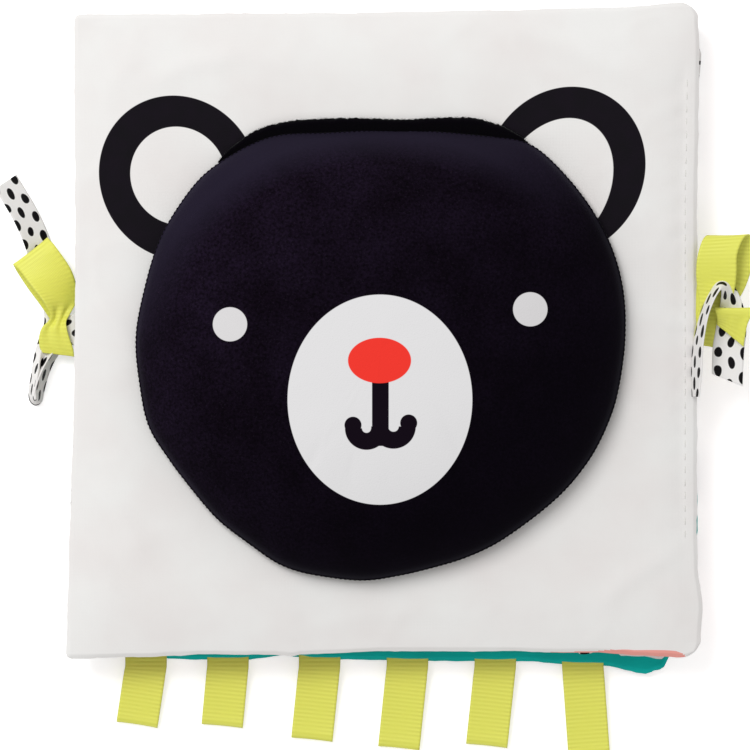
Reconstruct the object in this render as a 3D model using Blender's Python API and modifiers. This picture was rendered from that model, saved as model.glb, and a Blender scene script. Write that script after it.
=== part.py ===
# A crinkle cloth book for a baby, lying closed on its back page.
# Three padded pages fold in a zigzag, a stuffed face lifts from the cover,
# six ribbon loops are sewn in the lower seam and a tied bow hangs at each side.
# Metres: x runs across the book, y up the page and z up from the table.

import math

import bmesh
import bpy
from mathutils import Vector

# Pages
BOOK_WIDTH = 0.180  # closed, from fold line to fold line
PAGE_HEIGHT = 0.1866
PAGE_THICK = 0.0058  # in the middle of a padded page
PAGE_GAP = 0.0004  # air between two closed pages
COVER_SETBACK = 0.0002  # the cover's free edge stops short of the fold line below it
BACK_SETBACK = 0.003  # and so does the back page's free edge on the other side
MIDDLE_SLIP = 0.0006  # how far the page hangs below the cover's lower edge
BACK_SLIP = 0.0024
FREE_CORNER = 0.0055
FOLD_CORNER = 0.0015
CORNER_STEPS = 4
LEAST_CORNER_SHARE = 0.25
CROWN_RUN = 0.022  # from the sewn edge in to the flat middle
CROWN_SHARES = ((0.0, 0.26), (0.04, 0.34), (0.25, 0.62), (0.55, 0.88), (1.0, 1.0))
CLOTH_THICK = 0.0005
FILM_THICK = 0.0002
FILM_INSET = 0.004
WADDING_INSET = 0.006
TOUCH_GAP = 0.0003  # between two pieces that touch on the real book

# Folds
FOLD_GAP = 0.0003  # between the two halves of a fold's cloth, at the fold line
HEM_THICK = 0.0006
HEM_SETBACK = 0.0014  # a hem stops this far inside the page's corners
HEM_STEPS = 5

# Stuffed face
FACE_WIDTH = 0.1403
FACE_HEIGHT = 0.129
FACE_TOP_MARGIN = 0.0355  # from the cover's top edge down to the face's sewn edge
FACE_SHIFT = -0.0013  # its middle is this far to the side of the book's
FACE_RISE = 0.0200
FACE_CLOTH = 0.0006
FACE_CROWN_RUN = 0.017  # from the sewn top edge to full height
FACE_SAMPLES = 3
FACE_OUTLINE_SHARES = (
    (0.0, 0.0),
    (0.45, 0.0),
    (0.62, 0.045),
    (0.80, 0.16),
    (0.95, 0.30),
    (1.0, 0.45),
    (0.95, 0.63),
    (0.80, 0.78),
    (0.56, 0.905),
    (0.28, 0.975),
    (0.0, 1.0),
)
FACE_RING_SHARES = (
    (1.0, 0.10),
    (0.985, 0.26),
    (0.94, 0.46),
    (0.86, 0.66),
    (0.73, 0.83),
    (0.55, 0.94),
    (0.30, 1.0),
)
FACE_MIDDLE_SHARE = 0.5  # the rings shrink to this share of its height
HINGE_RISE = 0.0015  # hinge line above the cover's cloth
HINGE_GAP = 0.0003
FACE_HEM_LENGTH = 0.077
FACE_HEM_WIDTH = 0.0026

# Ribbons
LIME_WIDTH = 0.012
DOTTED_WIDTH = 0.010
RIBBON_THICK = 0.0004
SWING_GAP = 0.0006  # from a page's edge to a ribbon's sewn end, which turns there
TAG_LAYER_GAP = 0.00065  # between the middles of a loop's two layers, at the seam
TAG_END_GAP = 0.0014  # the same at the folded end
TAG_END_RISE = 0.0013  # the folded end's middle above the table
TAG_PLACES = (-0.0691, -0.0454, -0.0189, 0.0065, 0.0319, 0.0572)
TAG_LENGTHS = (0.0173, 0.0175, 0.0215, 0.0240, 0.0233, 0.0264)
TAG_LEANS = (-8.7, -5.5, -5.9, -5.9, -6.0, 4.2)  # degrees, foot towards +x
TAG_STEP_SHARES = (0.0, 0.3, 0.6, 0.85)

# Bows, in rows of x, y, z, width, turn and lean: shares of the three spans
# below and of the ribbon's width, then degrees. x runs outwards from the seam.
BOW_REACH = 0.020
BOW_SPAN = 0.045
BOW_RISE = 0.005
BOW_SAMPLES = 3
LEFT_BOW_MIDDLE = 0.0029
RIGHT_BOW_MIDDLE = 0.005
LEFT_LIME_SHARES = (
    (0.00, 0.000, 0.07, 0.50, 90, 0),
    (0.10, 0.000, 0.16, 0.48, 88, 0),
    (0.27, 0.000, 0.32, 0.42, 76, 0),
    (0.38, 0.078, 0.38, 0.50, 30, 0),
    (0.55, 0.255, 0.44, 0.90, 28, 0),
    (0.70, 0.411, 0.42, 1.05, 34, 0),
    (0.745, 0.450, 0.29, 1.06, 34, 0),
    (0.71, 0.420, 0.16, 1.05, 34, 0),
    (0.55, 0.255, 0.14, 0.90, 28, 0),
    (0.365, 0.073, 0.15, 0.50, 23, 0),
    (0.345, -0.022, 0.07, 0.50, 10, 0),
    (0.37, -0.111, 0.13, 0.78, -2, 0),
    (0.385, -0.187, 0.08, 0.86, -5, 0),
)
LEFT_DOTTED_SHARES = (
    (1.065, 0.904, -0.38, 0.90, 20, 0),
    (0.80, 0.578, -0.18, 0.90, 20, 0),
    (0.525, 0.222, -0.26, 0.75, 20, 0),
    (0.35, 0.022, -0.16, 0.50, 12, 0),
    (0.44, -0.178, -0.12, 0.70, -6, 0),
    (0.565, -0.433, -0.14, 0.80, -12, 0),
    (0.60, -0.511, -0.28, 0.80, -12, 0),
    (0.565, -0.433, -0.42, 0.80, -12, 0),
    (0.44, -0.200, -0.45, 0.70, -12, 0),
    (0.27, -0.067, -0.40, 0.60, -45, 0),
    (0.10, -0.033, -0.18, 0.72, -86, 0),
    (0.00, -0.033, -0.07, 0.80, -90, 0),
)
RIGHT_LIME_SHARES = (
    (0.00, -0.044, 0.00, 0.75, -90, 0),
    (0.11, -0.040, -0.04, 0.70, -87, 0),
    (0.24, 0.025, -0.14, 0.55, -52, 0),
    (0.29, 0.150, -0.22, 0.46, -20, 0),
    (0.34, 0.300, -0.26, 0.83, -10, 0),
    (0.40, 0.467, -0.26, 1.00, -4, 0),
    (0.415, 0.507, -0.02, 1.03, -2, 0),
    (0.41, 0.467, 0.26, 1.00, -2, 0),
    (0.28, 0.300, 0.30, 0.88, -6, 0),
    (0.23, 0.156, 0.18, 0.46, 0, 0),
    (0.40, 0.033, 0.06, 0.75, 25, 0),
    (0.55, -0.100, -0.06, 0.88, 38, 0),
)
RIGHT_DOTTED_SHARES = (
    (0.13, -0.522, 0.78, 0.80, 0, 60),
    (0.12, -0.311, 0.80, 0.80, -8, 60),
    (0.17, -0.111, 0.90, 0.80, -20, 42),
    (0.24, 0.067, 0.78, 0.70, -30, 20),
    (0.325, 0.196, 0.70, 0.70, -65, 6),
    (0.52, 0.142, 0.62, 0.70, -130, 0),
    (0.57, 0.011, 0.52, 0.80, -175, 0),
    (0.49, -0.200, 0.44, 0.95, -190, 0),
    (0.405, -0.440, 0.22, 0.98, -195, 0),
)

# Sizes that follow
PITCH = PAGE_THICK + PAGE_GAP
HALF_PAGE = PAGE_THICK / 2
FOLD_X = BOOK_WIDTH / 2
HEM_RADIUS = (PITCH - FOLD_GAP) / 2
HEM_CENTRE_X = FOLD_X - FOLD_GAP / 2 - HEM_THICK / 2 - HEM_RADIUS
FOLD_EDGE = HEM_CENTRE_X - TOUCH_GAP
COVER_EDGE = FOLD_X - COVER_SETBACK
BACK_EDGE = FOLD_X - BACK_SETBACK
COVER_SEAM = HALF_PAGE + 2 * PITCH
COVER_CLOTH = COVER_SEAM + HALF_PAGE
FACE_BASE = COVER_CLOTH + TOUCH_GAP
FACE_TOP = PAGE_HEIGHT / 2 - FACE_TOP_MARGIN
HINGE_Y = FACE_TOP + HINGE_GAP / 2
HINGE_Z = COVER_CLOTH + HINGE_RISE
TAG_AXIS_Y = -PAGE_HEIGHT / 2 - BACK_SLIP - SWING_GAP

# Each page: its level from the table, left edge, right edge, slip and which sides are free
PAGES = {
    "back_page": (0, -BACK_EDGE, FOLD_EDGE, BACK_SLIP, (True, False)),
    "middle_page": (1, -FOLD_EDGE, FOLD_EDGE, MIDDLE_SLIP, (False, False)),
    "cover": (2, -FOLD_EDGE, COVER_EDGE, 0.0, (False, True)),
}
COLOURS = {
    "white_cotton": ((0.80, 0.79, 0.77), 0.85),
    "salmon_cotton": ((0.80, 0.33, 0.28), 0.85),
    "marked_cotton": ((0.74, 0.74, 0.72), 0.85),
    "teal_cotton": ((0.01, 0.30, 0.28), 0.85),
    "striped_cotton": ((0.55, 0.55, 0.54), 0.85),
    "black_plush": ((0.008, 0.006, 0.011), 0.95),
    "wadding": ((0.86, 0.86, 0.84), 1.0),
    "crinkle_film": ((0.75, 0.77, 0.80), 0.25),
    "lime_grosgrain": ((0.62, 0.66, 0.08), 0.6),
    "dotted_ribbon": ((0.78, 0.78, 0.76), 0.5),
}

for old in list(bpy.data.objects):
    bpy.data.objects.remove(old)
book = bpy.data.collections.new("crinkle_cloth_book")
bpy.context.scene.collection.children.link(book)


def make_materials():
    made = {}
    for name, (colour, roughness) in COLOURS.items():
        material = bpy.data.materials.new(name)
        material.use_nodes = True
        shader = material.node_tree.nodes["Principled BSDF"]
        shader.inputs["Base Color"].default_value = (*colour, 1.0)
        shader.inputs["Roughness"].default_value = roughness
        shader.inputs["Metallic"].default_value = 0.0
        made[name] = material
    return made


materials = make_materials()


def pivot(name, place, parent=None):
    # An empty on a joint's axis, which carries the pieces that turn there
    empty = bpy.data.objects.new(name, None)
    empty.empty_display_size = FREE_CORNER
    empty["place"] = place
    empty.parent = parent
    empty.location = Vector(place) - Vector(parent["place"] if parent else (0, 0, 0))
    book.objects.link(empty)
    return empty


def add_object(name, bm, material, carrier=None, wall=0.0, offset=-1.0):
    # The mesh is in book coordinates; its origin goes to the carrier's place
    origin = Vector(carrier["place"]) if carrier else Vector((0, 0, 0))
    bmesh.ops.translate(bm, vec=-origin, verts=bm.verts)
    mesh = bpy.data.meshes.new(name)
    bm.to_mesh(mesh)
    bm.free()
    mesh.shade_smooth()
    mesh.set_sharp_from_angle(angle=math.radians(40))
    mesh.materials.append(materials[material])
    obj = bpy.data.objects.new(name, mesh)
    obj.parent = carrier
    book.objects.link(obj)
    if wall:
        solidify = obj.modifiers.new("Cloth", "SOLIDIFY")
        solidify.thickness = wall
        solidify.offset = offset
        solidify.use_even_offset = True
    return obj


def loft(rings, cap_first=False, cap_last=False):
    # Rings run counterclockwise seen from above, from the lowest layer up
    bm = bmesh.new()
    rows = [[bm.verts.new(point) for point in ring] for ring in rings]
    for lower, upper in zip(rows, rows[1:]):
        for i in range(len(lower)):
            j = (i + 1) % len(lower)
            bm.faces.new((lower[i], lower[j], upper[j], upper[i]))
    if cap_first:
        bm.faces.new(reversed(rows[0]))
    if cap_last:
        bm.faces.new(rows[-1])
    return bm


def smooth_rows(rows, samples):
    # Catmull-Rom through rows of numbers, ends kept
    rows = [Vector(row) for row in rows]
    padded = [2 * rows[0] - rows[1], *rows, 2 * rows[-1] - rows[-2]]
    out = []
    for a, b, c, d in zip(padded, padded[1:], padded[2:], padded[3:]):
        for step in range(samples):
            t = step / samples
            out.append(
                (2 * b + (c - a) * t + (2 * a - 5 * b + 4 * c - d) * t**2
                 + (3 * b - a - 3 * c + d) * t**3) / 2
            )
    return out + [rows[-1]]


def crown(inset):
    # Height of a page's cloth above its seam, this far in from the sewn edge
    share = inset / CROWN_RUN
    for (x0, h0), (x1, h1) in zip(CROWN_SHARES, CROWN_SHARES[1:]):
        if share <= x1:
            return HALF_PAGE * (h0 + (h1 - h0) * (share - x0) / (x1 - x0))
    return HALF_PAGE


def page_ring(page, inset, height):
    # The page's rounded outline, drawn in by inset, at height above its seam
    level, left, right, slip, free = PAGES[page]
    z = HALF_PAGE + level * PITCH + height
    ring = []
    for side_x, side_y, start in ((-1, -1, 180), (1, -1, 270), (1, 1, 0), (-1, 1, 90)):
        full = FREE_CORNER if free[side_x > 0] else FOLD_CORNER
        radius = max(full - inset, full * LEAST_CORNER_SHARE)
        x = (right if side_x > 0 else left) - side_x * (inset + radius)
        y = side_y * (PAGE_HEIGHT / 2 - inset - radius) - slip
        for step in range(CORNER_STEPS + 1):
            angle = math.radians(start + 90 * step / CORNER_STEPS)
            ring.append((x + radius * math.cos(angle), y + radius * math.sin(angle), z))
    return ring


def insets_from(first):
    return [first] + [x * CROWN_RUN for x, _ in CROWN_SHARES if x * CROWN_RUN > first]


def make_page(page, carrier, front, back):
    insets = insets_from(0.0)
    bm = loft([page_ring(page, d, crown(d)) for d in insets], cap_last=True)
    add_object(page + "_front_cloth", bm, front, carrier, CLOTH_THICK)
    bm = loft([page_ring(page, d, -crown(d)) for d in reversed(insets)], cap_first=True)
    add_object(page + "_back_cloth", bm, back, carrier, CLOTH_THICK)

    film_drop = CLOTH_THICK + TOUCH_GAP
    insets = insets_from(FILM_INSET)
    bm = loft([page_ring(page, d, crown(d) - film_drop) for d in insets], cap_last=True)
    add_object(page + "_crinkle_film", bm, "crinkle_film", carrier, FILM_THICK)

    insets = insets_from(WADDING_INSET)
    top_drop = film_drop + FILM_THICK + TOUCH_GAP
    below = [page_ring(page, d, film_drop - crown(d)) for d in reversed(insets)]
    above = [page_ring(page, d, crown(d) - top_drop) for d in insets]
    bm = loft(below + above, cap_first=True, cap_last=True)
    add_object(page + "_wadding", bm, "wadding", carrier)


def make_fold_hem(name, carrier, side, axis_z, upper, slip, material):
    # A quarter of the fold's round cloth, from a page's edge to the fold line
    centre_z = axis_z + (FOLD_GAP / 2 if upper else -FOLD_GAP / 2)
    half_length = PAGE_HEIGHT / 2 - HEM_SETBACK
    bm = bmesh.new()
    bmesh.ops.create_grid(bm, x_segments=HEM_STEPS, y_segments=1, size=1.0)
    for vert in bm.verts:
        angle = math.radians(45 * (1 + vert.co.x)) * (1 if upper else -1)
        x = side * (HEM_CENTRE_X + HEM_RADIUS * math.cos(angle))
        y = vert.co.y * half_length - slip
        vert.co = (x, y, centre_z + HEM_RADIUS * math.sin(angle))
    bmesh.ops.recalc_face_normals(bm, faces=bm.faces)
    add_object(name, bm, material, carrier, HEM_THICK, 0.0)


def face_outline():
    # The right half and its mirror image, counterclockwise; the sewn top edge stays straight
    half = smooth_rows(FACE_OUTLINE_SHARES, FACE_SAMPLES)
    right = [(p.x * FACE_WIDTH / 2, -max(p.y, 0.0) * FACE_HEIGHT) for p in half]
    left = [(-x, y) for x, y in right[1:-1]]
    return [(x + FACE_SHIFT, y + FACE_TOP) for x, y in left + right[::-1]]


def face_ring(shrink, rise, drop=0.0):
    # Outline drawn towards the middle; it stays low beside the sewn top edge
    middle_y = FACE_TOP - FACE_HEIGHT * FACE_MIDDLE_SHARE
    ring = []
    for x, y in face_outline():
        near_x = FACE_SHIFT + (x - FACE_SHIFT) * shrink
        near_y = middle_y + (y - middle_y) * shrink
        away = min(1.0, (FACE_TOP - near_y) / FACE_CROWN_RUN)
        eased = FACE_CLOTH + (rise * FACE_RISE - FACE_CLOTH) * (1 - (1 - away) ** 2)
        ring.append((near_x, near_y, FACE_BASE + FACE_CLOTH + TOUCH_GAP + eased - drop))
    return ring


def make_face(carrier, cover_carrier):
    rings = [face_ring(*shares) for shares in FACE_RING_SHARES]
    add_object("face_front_cloth", loft(rings, cap_last=True), "black_plush", carrier, FACE_CLOTH)

    base = [(x, y, FACE_BASE) for x, y, _ in face_ring(1.0, 0.0)]
    top = [(x, y, z + FACE_CLOTH) for x, y, z in base]
    bm = loft([base, top], cap_first=True, cap_last=True)
    add_object("face_back_cloth", bm, "black_plush", carrier)

    inner = FACE_RING_SHARES[2:]
    drop = 2 * FACE_CLOTH + TOUCH_GAP
    first = face_ring(inner[0][0], 0.0)
    floor = [(x, y, FACE_BASE + FACE_CLOTH + TOUCH_GAP) for x, y, _ in first]
    bm = loft([floor] + [face_ring(*s, drop) for s in inner], cap_first=True, cap_last=True)
    add_object("face_stuffing", bm, "wadding", carrier)

    bm = bmesh.new()
    bmesh.ops.create_cube(bm, size=1.0)
    low_z = COVER_CLOTH + TOUCH_GAP
    bmesh.ops.scale(bm, vec=(FACE_HEM_LENGTH, FACE_HEM_WIDTH, HINGE_Z - low_z), verts=bm.verts)
    middle = (FACE_SHIFT, HINGE_Y + HINGE_GAP / 2 + FACE_HEM_WIDTH / 2, (HINGE_Z + low_z) / 2)
    bmesh.ops.translate(bm, vec=middle, verts=bm.verts)
    add_object("face_hinge_hem", bm, "black_plush", cover_carrier)


def ribbon(name, rows, material, carrier):
    # Rows of a middle point and the vector from there to the ribbon's edge
    bm = bmesh.new()
    bmesh.ops.create_grid(bm, x_segments=len(rows) - 1, y_segments=1, size=1.0)
    for vert in bm.verts:
        middle, across = rows[round((vert.co.x + 1) / 2 * (len(rows) - 1))]
        vert.co = middle + across * vert.co.y
    bmesh.ops.recalc_face_normals(bm, faces=bm.faces)
    add_object(name, bm, material, carrier, RIBBON_THICK, 0.0)


def make_tag(number, place, length, lean, carrier):
    # A ribbon folded in two, both ends in the lower seam
    lean = math.radians(lean)
    along = Vector((math.sin(lean), -math.cos(lean), 0.0))
    square = Vector((1.0, 0.0, 0.0)) * LIME_WIDTH / 2
    across = Vector((math.cos(lean), math.sin(lean), 0.0)) * LIME_WIDTH / 2
    seam = Vector((place, TAG_AXIS_Y, 0.0))
    reach = length - TAG_END_GAP / 2

    def row(share, side):
        # The ends lie along the seam, and the loop leans from there on
        middle_z = HALF_PAGE + (TAG_END_RISE - HALF_PAGE) * share
        gap = TAG_LAYER_GAP + (TAG_END_GAP - TAG_LAYER_GAP) * share
        middle = seam + along * reach * share + Vector((0, 0, middle_z + side * gap / 2))
        return middle, across if share else square

    steps = [*TAG_STEP_SHARES, 1.0]
    tip = seam + along * length + Vector((0, 0, TAG_END_RISE))
    rows = [row(s, 1) for s in steps] + [(tip, across)] + [row(s, -1) for s in reversed(steps)]
    ribbon(f"tag_{number}", rows, "lime_grosgrain", carrier)


def bow_rows(shares, width, corner, side):
    rows = []
    for x, y, z, wide, turn, lean in (tuple(r) for r in smooth_rows(shares, BOW_SAMPLES)):
        middle = Vector((side * x * BOW_REACH, y * BOW_SPAN, z * BOW_RISE)) + corner
        turn, lean = math.radians(turn), math.radians(lean)
        across = Vector((math.cos(turn) * math.cos(lean),
                         math.sin(turn) * math.cos(lean),
                         math.sin(lean)))
        rows.append((middle, across * wide * width / 2))
    return rows


def make_bow(name, side, corner, lime, dotted, carrier):
    ribbon(name + "_lime_ribbon", bow_rows(lime, LIME_WIDTH, corner, side),
           "lime_grosgrain", carrier)
    ribbon(name + "_dotted_ribbon", bow_rows(dotted, DOTTED_WIDTH, corner, side),
           "dotted_ribbon", carrier)


def main():
    lower_axis = HALF_PAGE + PITCH / 2
    upper_axis = lower_axis + PITCH
    right_fold = pivot("right_fold_axis", (FOLD_X, 0.0, lower_axis))
    left_fold = pivot("left_fold_axis", (-FOLD_X, 0.0, upper_axis), right_fold)
    face_hinge = pivot("face_hinge_axis", (FACE_SHIFT, HINGE_Y, HINGE_Z), left_fold)

    make_page("back_page", None, "teal_cotton", "striped_cotton")
    make_page("middle_page", right_fold, "marked_cotton", "marked_cotton")
    make_page("cover", left_fold, "white_cotton", "salmon_cotton")
    make_fold_hem("right_fold_back_hem", None, 1, lower_axis, False, BACK_SLIP, "marked_cotton")
    make_fold_hem("right_fold_page_hem", right_fold, 1, lower_axis, True, MIDDLE_SLIP,
                  "marked_cotton")
    make_fold_hem("left_fold_page_hem", right_fold, -1, upper_axis, False, MIDDLE_SLIP,
                  "marked_cotton")
    make_fold_hem("left_fold_cover_hem", left_fold, -1, upper_axis, True, 0.0, "white_cotton")
    make_face(face_hinge, left_fold)

    for number, (place, length, lean) in enumerate(zip(TAG_PLACES, TAG_LENGTHS, TAG_LEANS), 1):
        carrier = pivot(f"tag_{number}_axis", (place, TAG_AXIS_Y, HALF_PAGE))
        make_tag(number, place, length, lean, carrier)

    left_corner = Vector((-BACK_EDGE - SWING_GAP, LEFT_BOW_MIDDLE, HALF_PAGE))
    left_bow = pivot("left_bow_axis", left_corner)
    make_bow("left_bow", -1, left_corner, LEFT_LIME_SHARES, LEFT_DOTTED_SHARES, left_bow)
    right_corner = Vector((COVER_EDGE + SWING_GAP, RIGHT_BOW_MIDDLE, COVER_SEAM))
    right_bow = pivot("right_bow_axis", right_corner, left_fold)
    make_bow("right_bow", 1, right_corner, RIGHT_LIME_SHARES, RIGHT_DOTTED_SHARES, right_bow)


main()
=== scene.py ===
# A crinkle cloth book for a baby, closed on a pale table and seen from straight above.
# The tables are in millimetres: x runs across the book, y up the page, z up from the table.
import math

import bmesh
import bpy
from mathutils import Matrix, Vector, noise
from mathutils.bvhtree import BVHTree


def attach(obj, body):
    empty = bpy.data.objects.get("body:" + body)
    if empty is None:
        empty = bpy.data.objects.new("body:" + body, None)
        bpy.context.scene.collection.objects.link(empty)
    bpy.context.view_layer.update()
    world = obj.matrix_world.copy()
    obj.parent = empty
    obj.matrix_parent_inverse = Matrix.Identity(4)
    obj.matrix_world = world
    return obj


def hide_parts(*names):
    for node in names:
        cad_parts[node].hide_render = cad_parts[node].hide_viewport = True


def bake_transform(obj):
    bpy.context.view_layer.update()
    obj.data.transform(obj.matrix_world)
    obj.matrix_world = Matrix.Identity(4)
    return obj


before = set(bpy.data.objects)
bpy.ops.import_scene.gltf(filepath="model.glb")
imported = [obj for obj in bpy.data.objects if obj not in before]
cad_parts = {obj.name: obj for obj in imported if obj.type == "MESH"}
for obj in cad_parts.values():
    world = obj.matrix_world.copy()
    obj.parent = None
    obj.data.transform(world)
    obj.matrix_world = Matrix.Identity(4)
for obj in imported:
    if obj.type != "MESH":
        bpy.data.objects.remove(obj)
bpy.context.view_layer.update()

mm = 0.001
scene = bpy.context.scene
scene.view_settings.view_transform = "Standard"


def point(x, y, z=0.0):
    return Vector((x, y, z)) * mm


def ease(low, high, value):
    share = min(max((value - low) / (high - low), 0.0), 1.0)
    return share * share * (3 - 2 * share)


def along(table, place):
    # the value at this place of (place, value) pairs, eased from one pair to the next
    if place <= table[0][0]:
        return table[0][1]
    for (x0, y0), (x1, y1) in zip(table, table[1:]):
        if place <= x1:
            return y0 + (y1 - y0) * ease(x0, x1, place)
    return table[-1][1]


def bell(distance, width):
    return math.exp(-((distance / width) ** 2))


def waver(x, y, z):
    # smooth noise between about -1 and 1
    return noise.noise(Vector((x, y, z)))


def smoothPath(rows, samples, closed=False):
    # a Catmull-Rom curve through rows of numbers
    rows = [Vector(row) for row in rows]
    if closed:
        padded = [rows[-1], *rows, rows[0], rows[1]]
    else:
        padded = [2 * rows[0] - rows[1], *rows, 2 * rows[-1] - rows[-2]]
    out = []
    for a, b, c, d in zip(padded, padded[1:], padded[2:], padded[3:]):
        for step in range(samples):
            t = step / samples
            out.append((2 * b + (c - a) * t + (2 * a - 5 * b + 4 * c - d) * t**2
                        + (3 * b - a - 3 * c + d) * t**3) / 2)
    return out if closed else out + [rows[-1]]


def runLengths(path):
    # the way from the start to each point; the place is a row's first three numbers
    runs = [0.0]
    for a, b in zip(path, path[1:]):
        runs.append(runs[-1] + math.dist(a[:3], b[:3]))
    return runs


def evenPath(path, count, closed=False):
    # the same curve as count evenly spaced points
    path = list(path) + ([path[0]] if closed else [])
    runs = runLengths(path)
    out, at = [], 0
    for step in range(count):
        want = runs[-1] * step / (count if closed else count - 1)
        while at < len(runs) - 2 and runs[at + 1] < want:
            at += 1
        gap = max(runs[at + 1] - runs[at], 1e-9)
        out.append(path[at].lerp(path[at + 1], (want - runs[at]) / gap))
    return out


def makePiece(name, bm, materials, body=None, smooth=True):
    mesh = bpy.data.meshes.new(name)
    bm.to_mesh(mesh)
    bm.free()
    for material in materials:
        mesh.materials.append(material)
    if smooth:
        mesh.shade_smooth()
    piece = bpy.data.objects.new(name, mesh)
    scene.collection.objects.link(piece)
    if body:
        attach(piece, body)
    return piece


def twoLayers(bm, edgeRows):
    # a flat sheet becomes a closed double one: z 0 below, 1 above, rows between them round the rim
    made = bmesh.ops.extrude_face_region(bm, geom=bm.faces[:], use_keep_orig=True)
    lifted = [part for part in made["geom"] if isinstance(part, bmesh.types.BMVert)]
    bmesh.ops.translate(bm, vec=(0, 0, 1), verts=lifted)
    walls = [edge for edge in bm.edges if abs(edge.verts[0].co.z - edge.verts[1].co.z) > 0.5]
    bmesh.ops.subdivide_edges(bm, edges=walls, cuts=edgeRows, use_grid_fill=True)
    bmesh.ops.recalc_face_normals(bm, faces=bm.faces)


def addGrain(bm, middle, direction, size, around, rings):
    # a tiny plump body of thread or fibre that lies in this direction
    turned = direction.to_track_quat("X", "Z").to_matrix().to_4x4()
    shape = Matrix.Diagonal((*[length / 2 * mm for length in size], 1))
    bmesh.ops.create_uvsphere(bm, u_segments=around, v_segments=rings, radius=1.0,
                              matrix=Matrix.Translation(middle) @ turned @ shape)


def linear(text):
    channels = [int(text[i:i + 2], 16) / 255 for i in (1, 3, 5)]
    return (*[c / 12.92 if c <= 0.04045 else ((c + 0.055) / 1.055) ** 2.4 for c in channels], 1.0)


def addNode(tree, kind, values=None):
    # a value is another node's output, an option of the node (lower-case key) or a constant
    node = tree.nodes.new(kind)
    for key, value in (values or {}).items():
        if isinstance(value, bpy.types.NodeSocket):
            tree.links.new(value, node.inputs[key])
        elif isinstance(key, str) and key[0].islower():
            setattr(node, key, value)
        else:
            node.inputs[key].default_value = value
    return node


def startMaterial(name, sockets):
    material = bpy.data.materials.new(name)
    material.use_nodes = True
    shader = material.node_tree.nodes["Principled BSDF"]
    for key, value in sockets.items():
        shader.inputs[key].default_value = value
    return material, material.node_tree


def finishMaterial(material, colour, height, depth, strength=0.6):
    # the colour, and a bump of this depth in millimetres
    tree = material.node_tree
    shader = tree.nodes["Principled BSDF"]
    bump = addNode(tree, "ShaderNodeBump", {"Strength": strength, "Distance": depth * mm, "Height": height})
    tree.links.new(colour, shader.inputs["Base Color"])
    tree.links.new(bump.outputs[0], shader.inputs["Normal"])
    return material


def millimetres(tree, source="Object", flat=True):
    # coordinates in millimetres; a print ignores the height
    start = addNode(tree, "ShaderNodeTexCoord").outputs[source]
    size = (1000, 1000, 0 if flat else 1000) if source == "Object" else (1, 1, 1)
    return addNode(tree, "ShaderNodeMapping", {"Scale": size, "Vector": start}).outputs[0]


def join(tree, operation, *numbers):
    # numbers put together one after the other
    total = numbers[0]
    for number in numbers[1:]:
        total = addNode(tree, "ShaderNodeMath", {"operation": operation, 0: total, 1: number}).outputs[0]
    return total


def joinVectors(tree, operation, first, second=(0, 0, 0)):
    node = addNode(tree, "ShaderNodeVectorMath", {"operation": operation, 0: first, 1: second})
    return node.outputs[1 if operation in ("LENGTH", "DOT_PRODUCT") else 0]


def fade(tree, value, low, high, most=1.0):
    # 0 at the low value, rising evenly to this most at the high one
    return addNode(tree, "ShaderNodeMapRange",
                   {"From Min": low, "From Max": high, "To Max": most, "Value": value}).outputs[0]


def blendColours(tree, factor, low, high):
    # a colour is a hex text, four numbers or another node's output
    low, high = [linear(colour) if isinstance(colour, str) else colour for colour in (low, high)]
    return addNode(tree, "ShaderNodeMix", {"data_type": "RGBA", 0: factor, 6: low, 7: high}).outputs[2]


def mottle(tree, place, size, low, high, detail=3.0):
    # soft patches of about this size in millimetres, as a number from 0 to 1
    cloud = addNode(tree, "ShaderNodeTexNoise", {"Scale": 1 / size, "Detail": detail, "Vector": place})
    return fade(tree, cloud.outputs[0], low, high)


def bands(tree, place, direction, pitch, more=None):
    # soft light and dark bands, this many millimetres apart
    wave = addNode(tree, "ShaderNodeTexWave", {"bands_direction": direction, "Scale": math.pi / 10 / pitch,
                                               "Vector": place, **(more or {})})
    return wave.outputs[1]


def threads(tree, place, pitch, distortion=0.6):
    # over and under of a plain weave, thread spacing in millimetres
    uneven = {"Distortion": distortion, "Detail": 1.0, "Detail Scale": 0.6}
    return join(tree, "MULTIPLY", *[bands(tree, place, direction, pitch, uneven) for direction in ("X", "Y")])


def ovalPrint(tree, place, centre, reach, turn=0.0, soft=0.14):
    # 1 inside an oval of these half widths, turned by these degrees, 0 outside, with a soft inked edge
    sized = addNode(tree, "ShaderNodeMapping",
                    {"vector_type": "TEXTURE", "Location": (*centre, 0), "Rotation": (0, 0, math.radians(turn)),
                     "Scale": (*reach, 1), "Vector": place})
    edge = soft / min(reach) / 2
    return fade(tree, joinVectors(tree, "LENGTH", sized.outputs[0]), 1 + edge, 1 - edge)


def ringPrint(tree, place, outer, inner):
    return join(tree, "MULTIPLY", ovalPrint(tree, place, *outer),
                join(tree, "SUBTRACT", 1.0, ovalPrint(tree, place, *inner)))


cotton = {
    "white": ("#ecebe9", "#e8e4e2"), "pageWhite": ("#ecebe9", "#e4e2de"), "salmon": ("#f0a59b", "#ea9a90"),
    "teal": ("#05bfb6", "#06b2aa"), "ink": "#130d16",
    "patch": (26.0, 0.35, 0.7), "weave": 0.42, "relief": 0.05,
}


def startCotton(name, dyes):
    # matt plain-weave cotton whose dye varies softly over the cloth
    material, tree = startMaterial(name, {"Roughness": 0.88, "IOR": 1.46, "Specular IOR Level": 0.2,
                                          "Sheen Weight": 0.03, "Sheen Roughness": 0.5})
    place = millimetres(tree)
    colour = blendColours(tree, mottle(tree, place, *cotton["patch"]), *dyes)
    return material, tree, place, colour, threads(tree, place, cotton["weave"])


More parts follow.
